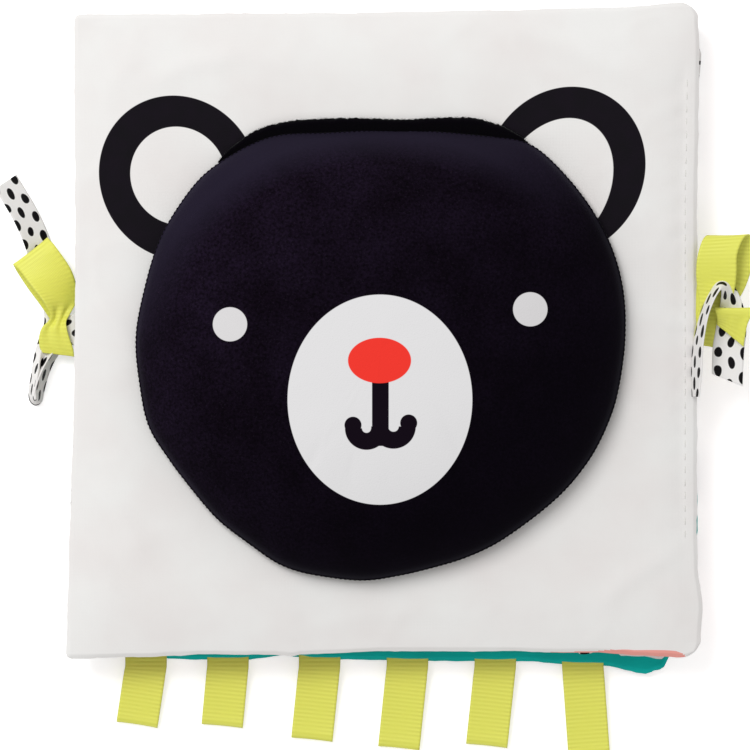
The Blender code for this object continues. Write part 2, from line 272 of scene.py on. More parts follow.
# outer and inner oval of each ear: centre, half widths, turn in degrees
ears = {"ovals": ((((-59.18, 44.17), (24.22, 22.42), 123), ((-59.3, 44.81), (14.34, 13.58), 123)),
                  (((51.63, 46.11), (24.93, 22.49), 59), ((48.81, 41.91), (20.6, 15.32), 61))),
        "ink": ("#0b040f", "#060309"), "patch": (5.0, 0.3, 0.75)}


def coverCotton():
    # bleached plain-weave cotton, screen printed: matt, with two ink rings
    material, tree, place, colour, weave = startCotton("bleachedCottonWithPrintedEars", cotton["white"])
    for outer, inner in ears["ovals"]:
        ink = blendColours(tree, mottle(tree, place, *ears["patch"]), *ears["ink"])
        colour = blendColours(tree, ringPrint(tree, place, outer, inner), colour, ink)
    return finishMaterial(material, colour, weave, cotton["relief"], 0.45)


def plainCotton(name, dyes):
    # piece-dyed plain-weave cotton: matt and even
    material, _, _, colour, weave = startCotton(name, dyes)
    return finishMaterial(material, colour, weave, cotton["relief"], 0.5)


# pitch along and across, and the bare cloth on each side of a dash
dashes = {"along": 7.2, "across": 2.05, "endGap": 2.25, "sideGap": 0.47, "start": (0.0, -0.875)}


def dashedCotton():
    # white cotton printed with staggered rows of short black dashes, 2.7 x 1.1 mm each
    material, tree, place, colour, weave = startCotton("whiteCottonWithBlackDashes", cotton["pageWhite"])
    squeeze = dashes["sideGap"] / dashes["endGap"]  # the brick pattern has one gap for both directions
    moved = addNode(tree, "ShaderNodeMapping",
                    {"Location": (*dashes["start"], 0), "Scale": (squeeze, 1, 1), "Vector": place})
    bricks = addNode(tree, "ShaderNodeTexBrick",
                     {"Scale": 1.0, "Mortar Size": dashes["sideGap"], "Mortar Smooth": 0.0,
                      "Brick Width": dashes["along"] * squeeze, "Row Height": dashes["across"],
                      "Vector": moved.outputs[0]})
    colour = blendColours(tree, bricks.outputs[1], cotton["ink"], colour)
    return finishMaterial(material, colour, weave, cotton["relief"], 0.5)


stripes = {"pitch": 12.0, "edge": (0.46, 0.54)}


def stripedCotton():
    # white cotton with printed black stripes 6 mm wide
    material, tree, place, colour, weave = startCotton("whiteCottonWithBlackStripes", cotton["pageWhite"])
    stripe = fade(tree, bands(tree, place, "DIAGONAL", stripes["pitch"]), *stripes["edge"])
    colour = blendColours(tree, stripe, cotton["ink"], colour)
    return finishMaterial(material, colour, weave, cotton["relief"], 0.5)


faceLook = {
    # colours of the knit, of its painted shade and painted rim sheen, and the lower and the upper fibres of its
    # pile in two tones
    "black": "#0b050d", "deep": "#030105", "lint": "#2a2330", "paintedRimSheen": "#221d2c",
    "pile": (("#050206", "#130a17"), ("#0c060f", "#1f1527")),
    # size, low, high and detail of the patches, of the pile a few fibres wide and of the lint
    "patches": (14.0, 0.35, 0.7), "tufts": (0.8, 0.3, 0.7, 2.0), "lintSpots": (0.5, 0.6, 0.9, 2.0),
    "fibre": 0.45, "relief": 0.12,
    # painted shade: the knit is shaded more from the upper left to the lower right, as if lit from the upper left;
    # a painted sheen pales the upper left rim
    "paintedShadeFade": (-90.0, 65.0, 0.85),
    "rim": ((-1.3, -5.0), (70.5, 63.5)), "rimFade": (0.84, 0.97), "upLeft": (-0.35, 1, 0),
    "rimSheenFade": (14.0, 52.0, 0.9),
    # the print: ovals as centre and half widths, the mouth as a stem and two hooks with round ends
    "printWhite": "#e1e0e1", "eyeWhite": "#d7d5d6", "nose": "#f03a30", "mouth": "#120a14",
    "eyes": (((-44.09, 2.07), (4.90, 4.86)), ((41.25, 6.33), (4.92, 4.86))),
    "muzzle": ((-1.47, -19.37), (26.24, 29.86)), "noseOval": ((-1.58, -8.22), (8.96, 6.46)),
    "stem": ((-1.34, -21.0), (2.37, 11.5)),
    "hooks": (((-5.28, -27.48), 3.70), ((2.38, -26.94), 3.92)), "caps": ((-9.12, -26.60), (6.70, -25.97)),
    "stroke": 2.42, "inkEdge": 0.07,
}


def printFaceWithPaintedShade(tree, place, colour):
    v = faceLook
    stroke, edge = v["stroke"], v["inkEdge"]
    axes = addNode(tree, "ShaderNodeSeparateXYZ", {0: place}).outputs
    # painted shade: the face's colour dims towards the lower right, away from the light
    lean = join(tree, "SUBTRACT", axes[0], axes[1])
    colour = blendColours(tree, fade(tree, lean, *v["paintedShadeFade"]), colour, v["deep"])
    # painted sheen: a paler band along the upper left rim, where the light falls
    (x, y), (wide, high) = v["rim"]
    disc = addNode(tree, "ShaderNodeMapping", {"Location": (-x / wide, -y / high, 0),
                                               "Scale": (1 / wide, 1 / high, 0), "Vector": place})
    nearRim = fade(tree, joinVectors(tree, "LENGTH", disc.outputs[0]), *v["rimFade"])
    upper = fade(tree, joinVectors(tree, "DOT_PRODUCT", place, v["upLeft"]), *v["rimSheenFade"])
    colour = blendColours(tree, join(tree, "MULTIPLY", nearRim, upper), colour, v["paintedRimSheen"])
    colour = blendColours(tree, ovalPrint(tree, place, *v["muzzle"]), colour, v["printWhite"])
    eyes = join(tree, "MAXIMUM", *[ovalPrint(tree, place, *oval) for oval in v["eyes"]])
    colour = blendColours(tree, eyes, colour, v["eyeWhite"])
    mouth = [ovalPrint(tree, place, cap, (stroke, stroke)) for cap in v["caps"]]
    for centre, radius in v["hooks"]:
        outer, inner = [(centre, (reach, reach)) for reach in (radius + stroke, radius - stroke)]
        lower = fade(tree, axes[1], centre[1] + edge, centre[1] - edge)
        mouth.append(join(tree, "MULTIPLY", ringPrint(tree, place, outer, inner), lower))
    sides = []
    for axis, (middle, reach) in enumerate(zip(*v["stem"])):
        off = join(tree, "SUBTRACT", axes[axis], middle)
        size = addNode(tree, "ShaderNodeMath", {"operation": "ABSOLUTE", 0: off})
        sides.append(fade(tree, size.outputs[0], reach + edge, reach - edge))
    mouth.append(join(tree, "MULTIPLY", *sides))
    colour = blendColours(tree, join(tree, "MAXIMUM", *mouth), colour, v["mouth"])
    return blendColours(tree, ovalPrint(tree, place, *v["noseOval"]), colour, v["nose"])


def blackKnit(name, printed=False, sheen=0.05, tint="#a8a8c8", deep=False):
    # brushed cotton knit dyed black: very matt, with pale lint; the band's is deeper, the face's printed and given
    # painted shade and a painted rim sheen
    v = faceLook
    material, tree = startMaterial(name, {"Roughness": 0.95, "IOR": 1.46, "Specular IOR Level": 0.05,
                                          "Sheen Weight": sheen, "Sheen Roughness": 0.4,
                                          "Sheen Tint": linear(tint)})
    solid = millimetres(tree, flat=False)
    lint = mottle(tree, solid, *v["lintSpots"])
    if deep:
        colour = blendColours(tree, lint, v["deep"], v["black"])
    else:
        tufts = mottle(tree, solid, *v["tufts"])
        tones = [blendColours(tree, tufts, *pair) for pair in v["pile"]]
        colour = blendColours(tree, mottle(tree, solid, *v["patches"]), *tones)
        colour = blendColours(tree, lint, colour, v["lint"])
    if printed:
        colour = printFaceWithPaintedShade(tree, millimetres(tree), colour)
    fibres = addNode(tree, "ShaderNodeTexNoise", {"Scale": 1 / v["fibre"], "Detail": 3.0, "Vector": solid})
    return finishMaterial(material, colour, fibres.outputs[0], v["relief"], 0.5)


def threadMaterial(name, colour):
    # spun polyester sewing thread: twisted, slightly glossy, with painted shade in the grooves of its twist
    material, tree = startMaterial(name, {"Roughness": 0.55, "IOR": 1.5, "Sheen Weight": 0.2})
    twist = bands(tree, millimetres(tree, flat=False), "DIAGONAL", 0.3)
    # painted shade: the thread's colour dims along the grooves of its twist
    twistGrooveShade = (*[0.8 * channel for channel in linear(colour)[:3]], 1.0)
    return finishMaterial(material, blendColours(tree, twist, colour, twistGrooveShade), twist, 0.04)


def waddingMaterial():
    # bonded polyester fibre: white, loose, matt, with crossing fibres
    material, tree = startMaterial("bondedPolyesterFibre", {"Roughness": 1.0, "Sheen Weight": 0.4})
    fibres = addNode(tree, "ShaderNodeTexNoise", {"Scale": 0.6, "Detail": 6.0, "Distortion": 2.5,
                                                  "Vector": millimetres(tree, flat=False)}).outputs[0]
    return finishMaterial(material, blendColours(tree, fibres, "#f4f3f0", "#dcdad5"), fibres, 0.8, 0.8)


def filmMaterial():
    # thin polyethylene film, crushed so that it crackles: glossy with sharp creases
    material, tree = startMaterial("crushedPolyetheneFilm", {"Roughness": 0.22, "IOR": 1.51})
    facets = addNode(tree, "ShaderNodeTexVoronoi", {"feature": "F1", "Scale": 0.16,
                                                    "Vector": millimetres(tree, flat=False)}).outputs[0]
    return finishMaterial(material, blendColours(tree, facets, "#e2e6ea", "#c9ced4"), facets, 1.2, 0.7)


ribbonLook = {
    "lime": "#eaeb68", "limePaintedRibShade": "#d8d855", "limeWorn": "#e2e35c", "limeRib": 1.17,
    "limePatch": (6.0, 0.3, 0.75), "limeYarn": 0.4, "white": "#efedeb", "dot": "#060406", "dotCell": (7.8, 6.1),
    "dotReach": (1.15, 1.65), "dotStart": (82, 96), "dotStray": 1.6, "whiteYarn": 0.45, "even": 0.2,
}


def limeGrosgrain():
    # polyester grosgrain: thick ribs across, a soft gloss, smooth selvedges; each rib is painted light on its crest
    # and painted shade between
    v = ribbonLook
    material, tree = startMaterial("limePolyesterGrosgrain", {"Roughness": 0.5, "IOR": 1.5,
                                                              "Specular IOR Level": 0.4, "Sheen Weight": 0.15})
    place = millimetres(tree, "UV")
    ribs = bands(tree, place, "Y", v["limeRib"], {"Phase Offset": math.pi / 2})
    # painted highlight on each rib's crest and painted shade between the ribs
    ribShadedLime = blendColours(tree, ribs, v["limePaintedRibShade"], v["lime"])
    colour = blendColours(tree, mottle(tree, place, *v["limePatch"]), ribShadedLime, v["limeWorn"])
    return finishMaterial(material, colour, threads(tree, place, v["limeYarn"], v["even"]), 0.05, 0.4)


def dottedRibbon():
    # white woven-edge satin ribbon with printed black ovals in staggered rows
    v = ribbonLook
    material, tree = startMaterial("whiteRibbonWithPrintedDots", {"Roughness": 0.6, "IOR": 1.5,
                                                                  "Specular IOR Level": 0.12})
    straight = millimetres(tree, "UV")
    stray = addNode(tree, "ShaderNodeTexNoise", {"Scale": 0.16, "Detail": 0.0, "Vector": straight})
    off = joinVectors(tree, "MULTIPLY", stray.outputs[1], (v["dotStray"], v["dotStray"], 0))
    place = joinVectors(tree, "ADD", straight, off)
    (wide, high), (startX, startY) = v["dotCell"], v["dotStart"]
    dots = []
    for shift in (0.0, 0.5):
        moved = joinVectors(tree, "ADD", place, (shift * wide + startX, shift * high + startY, 0))
        cell = joinVectors(tree, "MODULO", moved, (wide, high, 1))
        dots.append(ovalPrint(tree, cell, (wide / 2, high / 2), v["dotReach"]))
    colour = blendColours(tree, join(tree, "MAXIMUM", *dots), v["white"], v["dot"])
    return finishMaterial(material, colour, threads(tree, straight, v["whiteYarn"], v["even"]), 0.03, 0.4)


whiteCotton = coverCotton()
salmonCotton = plainCotton("salmonDyedCotton", cotton["salmon"])
tealCotton = plainCotton("tealDyedCotton", cotton["teal"])
dashCotton = dashedCotton()
stripeCotton = stripedCotton()
blackPlush = blackKnit("brushedBlackKnitWithPrintedFaceAndPaintedShade", printed=True)
bandPlush = blackKnit("brushedBlackKnit", sheen=0.3, tint="#c4ccc4", deep=True)
backPlush = blackKnit("plainBlackKnit")
limeRibbon = limeGrosgrain()
dotRibbon = dottedRibbon()
whiteThread = threadMaterial("whiteSpunThread", "#ecebe6")
padding = waddingMaterial()
film = filmMaterial()
print("materials made")

# Along each side a page's outline is moved in or out by (place, shift) pairs. Corners are radii from the lower
# left on, peek is how far the back cloth rolls forward over the lower edge, topstitch is (side, start, end, gap)
# and clear is how far the cloth stays off the layers inside.
pages = {
    "cover": {
        "node": "cover", "body": "cover", "slot": "white_cotton", "seam": 15.3,
        "sides": (-89.2, 89.9, -93.3, 93.3), "corners": (1.5, 5.8, 4.0, 1.5), "front": 0, "back": 1,
        "seed": 3.1, "sag": 0.34, "crease": 0.16, "clear": 0.26,
        "left": ((-92, -2.4), (-82, -2.2), (-66, -1.7), (-45, -1), (-25, -0.35), (-5, 0), (25, 0.2), (91, -0.1)),
        "right": ((-87, 0.8), (-79, 1.4), (-67, 0), (-60, -0.2), (38, -0.2), (58, 0.2), (82, 0.5), (89, 0.1),
            (94, -0.9)),
        "low": ((-89, -0.5), (-67, -0.1), (-62, 0.3), (-53, 0.6), (-31, 0.5), (-27, 0.1), (-24, 0.6), (-16, 1),
            (1, 1.6), (33, 1.6), (50, 1.2), (62, 1.2), (68, 0.8), (72, 0.3), (80, 0), (85, -0.3)),
        "top": ((-89, -2), (-10, -1.6), (33, -0.9), (62, -0.1), (87, 1.4)),
        "peek": ((46, 0.05), (54, 0.25), (61, 0.45), (66, 1.1), (72, 1.6), (79, 1.9), (84, 1.9), (86, 1.2),
            (87.3, 0.05)),
        "topstitch": (("right", -58, 74, 3.5),),
        # long creases: both ends, height and half width
        "creases": ((-88, -40, -62, -66, 0.4, 2.2), (-87, -56, -72, -80, 0.35, 1.8), (28, 89, 84, 70, 0.4, 3),
            (-72, 70, -38, 85, 0.35, 3), (64, -22, 86, -36, 0.3, 2.2), (-24, -86, 32, -80, 0.3, 2.4),
            (-85, 12, -68, -8, 0.25, 1.8), (58, -84, 86, -58, 0.55, 2.6), (66, 40, 84, 12, 0.3, 2.4)),
    },
    "middlePage": {
        "node": "middle_page", "body": "middle_page", "slot": "marked_cotton", "seam": 9.1,
        "sides": (-88.9, 88.9, -93.9, 92.7), "corners": (1.5, 1.5, 1.5, 1.5), "front": 0, "back": 0,
        "seed": 8.7, "sag": 0.15, "crease": 0.12, "clear": 0.42,
        "left": ((-90, -1.2), (-60, -1), (0, 0.4), (90, 0.4)),
        "right": ((-90, -0.4), (60, 0.3), (90, 0)),
        "low": ((-90, 0), (-84, 0.1), (-80, 2.4), (-50, 2.6), (0, 3), (55.2, 2.6), (56.4, 1), (59.2, 1),
            (60.4, 2.4), (66.4, 2), (67.4, 0.75), (69.6, 0.65), (73, 0.35), (75.5, 0.6), (77.6, -0.1),
            (80.6, -0.2), (82, 2), (90, 2.4)),
        "top": ((-90, -2.2), (0, -2), (33, -1.2), (62, -0.4)),
        "peek": (), "topstitch": (("low", -80, 80, 3.5), ("top", -80, 80, 3.5)),
    },
    "backPage": {
        "node": "back_page", "body": "back_page", "slot": "teal_cotton", "seam": 2.9,
        "sides": (-87.0, 88.9, -95.7, 90.9), "corners": (3.6, 1.6, 1.5, 3.6), "front": 0, "back": 1,
        "seed": 14.3, "sag": 0.15, "crease": 0.12, "clear": 0.42,
        "left": ((-90, 0.3), (90, 0)),
        "right": ((-97.5, -8.2), (-94.4, -7.7), (-92.9, -7), (-91.5, -5.2), (-90, -3.2), (-84, -1.4),
            (-78, -0.3), (-64, 0.2), (-56, 1.5), (-48, 1.5), (-36, 0.8), (-30, 0), (60, 0)),
        "low": ((-72, 2.6), (-66, 1.7), (-61, 1.2), (-52, 1.1), (-40, 1.2), (-36, 1.6), (-29, 2.4), (-25, 1.8),
            (-20, 1.3), (-13, 1.1), (4, 0.9), (12, 0.65), (42, 0.6), (51, -0.2), (59, -0.35), (63.6, -0.6),
            (66.5, -1.2), (70, -1.95), (73.8, -2.7), (75.2, -2.9), (76.7, -2.5), (78.1, -1.95), (80.3, -1.55),
            (82, -1)),
        "top": ((-90, -0.6), (60, 0.2)),
        "peek": (), "topstitch": (("left", -84, 80, 3.5),),
    },
}
# near is the way from the sewn edge to each of the first rows, crownRun the way in to the flat middle
pageCells = {
    "across": 116, "up": 120, "edgeRows": 9, "near": (0.35, 0.75, 1.2, 1.7, 2.3, 3.0, 3.8, 4.8, 6.0), "peekRows": 4,
    "crownRun": 22.0, "crownPower": 2.2, "half": 2.9, "edgeHalf": 0.6, "edgeRun": 1.1, "calmRun": 5.0,
    "most": 0.12, "beside": 0.8, "besideRun": 9,
    "edgeWaves": ((0.25, 9), (0.2, 2.4)),  # height and size
}
stitching = {
    "pitch": 3.7, "size": (2.4, 0.38, 0.26), "faded": 2, "depth": 0.42, "even": 0.66, "outer": 0.9, "inner": 1.6,
    # how far in from the stitches, height or depth, and half width
    "trough": (1.2, 0.2, 3.2), "puckers": (1.0, 0.15, 2.6),
}
# the cover is pressed flat under the stuffed face
facePress = {"centre": (-1.3, -5.0), "reach": (66.0, 62.0), "fade": (0.93, 1.12), "depth": 0.1}


def spacing(count, length):
    near = pageCells["near"]
    middle = count - 2 * len(near)
    run = [near[-1] + (length - 2 * near[-1]) * i / middle for i in range(1, middle)]
    return [0.0, *near, *run, *[length - x for x in reversed(near)], length]


def creased(x, y, v, side):
    # soft sags and sharper crinkles of the cloth over its film; each divisor is the size of a wave
    seed = v["seed"] + (0 if side > 0 else 40)
    soft = waver(x / 44, y / 44, seed) + 0.5 * waver(x / 21, y / 21, seed + 3)
    line = waver(x / 26 + 0.3 * waver(x / 9, y / 9, seed), y / 30, seed + 9)
    fine = waver(x / 7, y / 7, seed + 17)
    return v["sag"] * soft + v["crease"] * (bell(line, 0.09) - 0.25) + 0.04 * fine


def crease(x, y, line):
    # a ridge along a slightly bent line that fades towards its ends
    x0, y0, x1, y1, height, width = line
    length = math.hypot(x1 - x0, y1 - y0)
    share = ((x - x0) * (x1 - x0) + (y - y0) * (y1 - y0)) / length ** 2
    off = ((x - x0) * (y1 - y0) - (y - y0) * (x1 - x0)) / length + 1.5 * math.sin(5 * share)
    return height * bell(off, width) * ease(0, 0.35, share) * ease(1, 0.65, share)


def stitchWave(place, away, line, seed):
    # the cloth beside a line of topstitching: a dimple at each stitch, a shallow trough and small puckers
    s, (_, start, end, gap) = stitching, line
    there = ease(start - s["faded"], start + s["faded"], place)
    there *= 1 - ease(end - s["faded"], end + s["faded"], place)
    beat = 2 * math.pi * place / s["pitch"]
    pull = s["even"] + (1 - s["even"]) * math.cos(beat)
    wave = -s["depth"] * pull * bell(away - gap, s["outer"] if away < gap else s["inner"])
    off, depth, width = s["trough"]
    wave -= depth * bell(away - gap - off, width)
    off, height, width = s["puckers"]
    wave += height * math.sin(beat / 1.9 + 2.5 * waver(place / 11, 3, seed)) * bell(away - gap - off, width)
    return there * wave


def settleCloth(piece, sewn, look):
    # a short cloth simulation: the sewn corners stay, the stuffing presses the rest out and it takes its folds
    group = piece.vertex_groups.new(name="sewn")
    group.add(sewn, 1.0, "REPLACE")
    cloth = piece.modifiers.new("cloth", "CLOTH")
    cloth.point_cache.frame_end = look["frames"]
    cloth.collision_settings.use_collision = False
    given = cloth.settings
    given.vertex_group_mass = "sewn"
    given.quality, given.mass, given.air_damping = look["quality"], look["mass"], look["damping"]
    given.tension_stiffness = given.compression_stiffness = look["stretch"]
    given.shear_stiffness, given.bending_stiffness = look["stretch"] / 3, look["bend"]
    given.use_pressure, given.uniform_pressure_force = True, look["pressure"]
    given.effector_weights.gravity = 0
    for step in range(look["frames"]):
        scene.frame_set(step + 1)
    settled = piece.evaluated_get(bpy.context.evaluated_depsgraph_get()).data
    moves = [after.co - before.co for after, before in zip(settled.vertices, piece.data.vertices)]
    piece.modifiers.clear()
    piece.vertex_groups.clear()
    scene.frame_set(1)
    for vert, move in zip(piece.data.vertices, moves):
        if move.length > look["most"] * mm:
            move *= look["most"] * mm / move.length
        vert.co += move
    print(piece.name, "settled, largest move", round(max(move.length for move in moves) / mm, 2))


def hiddenLayers(page):
    # the page's film and wadding as search trees
    trees = []
    for part in ("_wadding", "_crinkle_film"):
        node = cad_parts[page + part]
        corners = [node.matrix_world @ vert.co for vert in node.data.vertices]
        trees.append(BVHTree.FromPolygons(corners, [tuple(face.vertices) for face in node.data.polygons]))
    return trees


def coverLayers(place, side, trees, margin, beside):
    # the cloth lies at least this margin outside the film and the wadding, also beside their edges
    shifts = ((0, 0), (beside, 0), (-beside, 0), (0, beside), (0, -beside)) if beside else ((0, 0),)
    for tree in trees:
        for x, y in shifts:
            hit = tree.ray_cast(place + point(x, y, 30 * side), Vector((0, 0, -side)), 60 * mm)[0]
            if hit and side * (place.z - hit.z) < margin * mm:
                place.z = hit.z + side * margin * mm


def padPage(name, v, cloths):
    c = pageCells
    left, right, low, top = v["sides"]
    trees = hiddenLayers(v["node"])
    across = spacing(c["across"], right - left)
    up = spacing(c["up"], top - low)
    bm = bmesh.new()
    bmesh.ops.create_grid(bm, x_segments=c["across"], y_segments=c["up"], size=1.0)
    twoLayers(bm, c["edgeRows"])
    layer, run, near = {}, c["edgeRun"], c["near"]
    for vert in bm.verts:
        i = round((vert.co.x + 1) / 2 * c["across"])
        j = round((vert.co.y + 1) / 2 * c["up"])
        share = 2 * vert.co.z - 1  # -1 at the back cloth, 0 at the seam, 1 at the front cloth
        fromLow = up[j]
        rolled = along(v["peek"], left + across[i]) if v["peek"] else 0.0
        if 0 < j < len(near) and rolled > run:
            # the back cloth rolls forward along a part of the lower edge
            shown, border = rolled - run + 0.02, up[c["peekRows"]]
            if up[j] <= border:
                fromLow = up[j] * shown / border
            else:
                fromLow = shown + (up[j] - border) * (near[-1] - shown) / (near[-1] - border)
        sideX = -1 if across[i] < across[-1] / 2 else 1
        sideY = -1 if up[j] < up[-1] / 2 else 1
        fromSide, fromEnd = min(across[i], across[-1] - across[i]), min(fromLow, up[-1] - up[j])
        onSide, onEnd = i in (0, c["across"]), j in (0, c["up"])
        thin = run * abs(share) ** 1.2
        fromSide = thin if onSide else run + fromSide * (1 - 2 * run / across[-1])
        fromEnd = thin if onEnd else run + fromEnd * (1 - 2 * run / up[-1])
        x = left + fromSide if sideX < 0 else right - fromSide
        y = low + fromEnd if sideY < 0 else top - fromEnd
        radius = v["corners"][((-1, -1), (1, -1), (1, 1), (-1, 1)).index((sideX, sideY))]
        outX, outY = (sideX if onSide else 0.0), (sideY if onEnd else 0.0)
        if fromSide < radius and fromEnd < radius:
            a, b = 1 - fromSide / radius, 1 - fromEnd / radius
            roundA, roundB = a * math.sqrt(1 - b * b / 2), b * math.sqrt(1 - a * a / 2)
            x += sideX * radius * (roundA - a)
            y += sideY * radius * (roundB - b)
            if onSide or onEnd:
                outX, outY = sideX * roundA, sideY * roundB
            fromSide = fromEnd = max(radius * (1 - math.hypot(roundA, roundB)), 0.0)
        size = math.hypot(outX, outY) or 1.0
        outX, outY = outX / size, outY / size
        shareX, shareY = across[i] / across[-1], up[j] / up[-1]
        shiftX = along(v["left"], y) * (1 - shareX) + along(v["right"], y) * shareX
        shiftY = along(v["low"], x + shiftX) * (1 - shareY) + along(v["top"], x + shiftX) * shareY
        # a turned seam: the two cloths meet in a thin edge that waves and puckers a little
        waves = sum(height * waver(x / long, y / long, v["seed"]) for height, long in c["edgeWaves"])
        swell = (1 - abs(share)) * waves
        rises = [1 - (1 - min(d / c["crownRun"], 1.0)) ** c["crownPower"] for d in (fromSide, fromEnd)]
        height = share * (c["edgeHalf"] + (c["half"] - c["edgeHalf"]) * rises[0] * rises[1])
        inward = min(fromSide, fromEnd)
        onCloth = abs(share) > 0.99
        if onCloth:
            side = 1 if share > 0 else -1
            calm = ease(0.0, c["calmRun"], inward)
            wave = creased(x, y, v, side) * calm
            if name == "cover" and side > 0:
                p = facePress
                spot = math.hypot(*[(at - mid) / reach for at, mid, reach in zip((x, y), p["centre"], p["reach"])])
                pressed = 1 - ease(*p["fade"], spot)
                wave = wave * (1 - pressed) - p["depth"] * pressed
                wave += sum(crease(x, y, line) for line in v["creases"]) * calm * (1 - pressed)
            else:
                wave = min(wave, c["most"])
            inside = {"left": across[i], "right": across[-1] - across[i], "low": up[j], "top": up[-1] - up[j]}
            for line in v["topstitch"]:
                place = y if line[0] in ("left", "right") else x
                wave += stitchWave(place, inside[line[0]], line, v["seed"])
            height += side * wave
        vert.co = point(x + shiftX + outX * swell, y + shiftY + outY * swell, v["seam"] + height)
        if onCloth:
            beside = c["beside"] if name != "cover" and inward < c["besideRun"] else 0
            coverLayers(vert.co, side, trees, v["clear"], beside)
        layer[vert] = (share, rolled, j)
    for face in bm.faces:
        shares, shown, rows = zip(*[layer[vert] for vert in face.verts])
        middle, shown = sum(shares) / len(shares), sum(shown) / len(shown)
        onRim = min(shares) < 0.99
        atSeam = max(rows) == 0 and onRim and run * abs(middle) ** 1.2 < shown
        rolledUp = max(rows) <= c["peekRows"] and not onRim and shown > run
        face.material_index = v["front"] if middle > 0 and not atSeam and not rolledUp else v["back"]
    for edge in bm.edges:
        edge.smooth = any(abs(layer[vert][0]) > 0.01 for vert in edge.verts)
    page = makePiece(name, bm, cloths, v["body"])
    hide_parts(v["node"] + "_front_cloth", v["node"] + "_back_cloth")
    return page


cover = padPage("cover", pages["cover"], [whiteCotton, salmonCotton])
middlePage = padPage("middlePage", pages["middlePage"], [dashCotton])
backPage = padPage("backPage", pages["backPage"], [tealCotton, stripeCotton])
for page in ("cover", "middle_page", "back_page"):
    for part, finish in (("_wadding", padding), ("_crinkle_film", film)):
        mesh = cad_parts[page + part].data
        mesh.materials.clear()
        mesh.materials.append(finish)
print("pages made")

# one strip of cloth from page to page round each fold; wander is how far it bulges out along the page
folds = {
    "leftFoldCloth": {
        "side": -1, "level": 12.2, "bodies": ("middle_page", "cover"), "ends": (-91.4, 90.2),
        "nodes": ("left_fold_page_hem", "left_fold_cover_hem"),
        "wander": ((-90, -0.1), (-70, -0.3), (-58, -0.2), (-52, 0.1), (-40, -0.3), (-22, -0.95), (-14, -1.5),
            (10, -1.8), (16, -1.8), (18.5, -1.1), (21, -1.9), (60, -1.9)),
    },
    "rightFoldCloth": {
        "side": 1, "level": 6.0, "bodies": ("back_page", "middle_page"), "ends": (-87.6, 90.0),
        "nodes": ("right_fold_back_hem", "right_fold_page_hem"),
        "wander": ((-90, -1.6), (-60, -1.3), (0, -1), (45, -1.1), (58, -0.8), (70, -0.2), (76, 0.7), (80, 0.9),
            (84, -0.2), (88, -1)),
    },
}
foldShape = {"centre": 87.2, "reach": 3.0, "rise": 3.1, "tab": 1.6, "tabTurn": 0.25, "thick": 0.45,
             "ripple": 0.16, "rippleSize": 6}


def makeFold(name, v):
    s = foldShape
    bm = bmesh.new()
    bmesh.ops.create_grid(bm, x_segments=20, y_segments=110, size=1.0)
    for vert in bm.verts:
        turn = vert.co.x * (1 + s["tabTurn"])
        run = (v["ends"][0] + v["ends"][1] + vert.co.y * (v["ends"][1] - v["ends"][0])) / 2
        tab = max(abs(turn) - 1.0, 0.0) / s["tabTurn"] * s["tab"]
        angle = min(max(turn, -1.0), 1.0) * math.pi / 2
        ripple = s["ripple"] * waver(run / s["rippleSize"], angle, v["level"])
        out = along(v["wander"], run) * math.cos(angle)
        x = v["side"] * (s["centre"] + out + (s["reach"] + ripple) * math.cos(angle) - tab)
        vert.co = point(x, run, v["level"] + s["rise"] * math.sin(angle))
    bmesh.ops.recalc_face_normals(bm, faces=bm.faces)
    strip = makePiece(name, bm, [dashCotton])
    wall = strip.modifiers.new("cloth", "SOLIDIFY")
    wall.thickness, wall.offset = s["thick"] * mm, 0.0
    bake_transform(strip)
    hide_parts(*v["nodes"])


for name, values in folds.items():
    makeFold(name, values)
print("folds made")


def sewStitches(name, places, size, material, body):
    # each stitch is a small plump loop of thread: (middle, direction) pairs
    bm = bmesh.new()
    for middle, direction in places:
        addGrain(bm, middle, direction, size, 6, 5)
    return makePiece(name, bm, [material], body)


def surfaceTop(piece, x, y, default):
    hit, place, _, _ = piece.ray_cast(point(x, y, 60), Vector((0, 0, -1)))
    return place.z / mm if hit else default


bpy.context.view_layer.update()
for page in (cover, middlePage, backPage):
    v = pages[page.name]
    places = []
    for edge, start, end, gap in v["topstitch"]:
        upright = edge in ("left", "right")
        for step in range(int((end - start) / stitching["pitch"]) + 1):
            run = start + step * stitching["pitch"]
            side = v["sides"][("left", "right", "low", "top").index(edge)] + along(v[edge], run)
            side += gap if edge in ("left", "low") else -gap
            x, y = (side, run) if upright else (run, side)
            way = Vector((0, 1, 0) if upright else (1, 0, 0))
            places.append((point(x, y, surfaceTop(page, x, y, v["seam"]) + 0.02), way))
    sewStitches(page.name + "Topstitch", places, stitching["size"], whiteThread, v["body"])
print("stitches made")

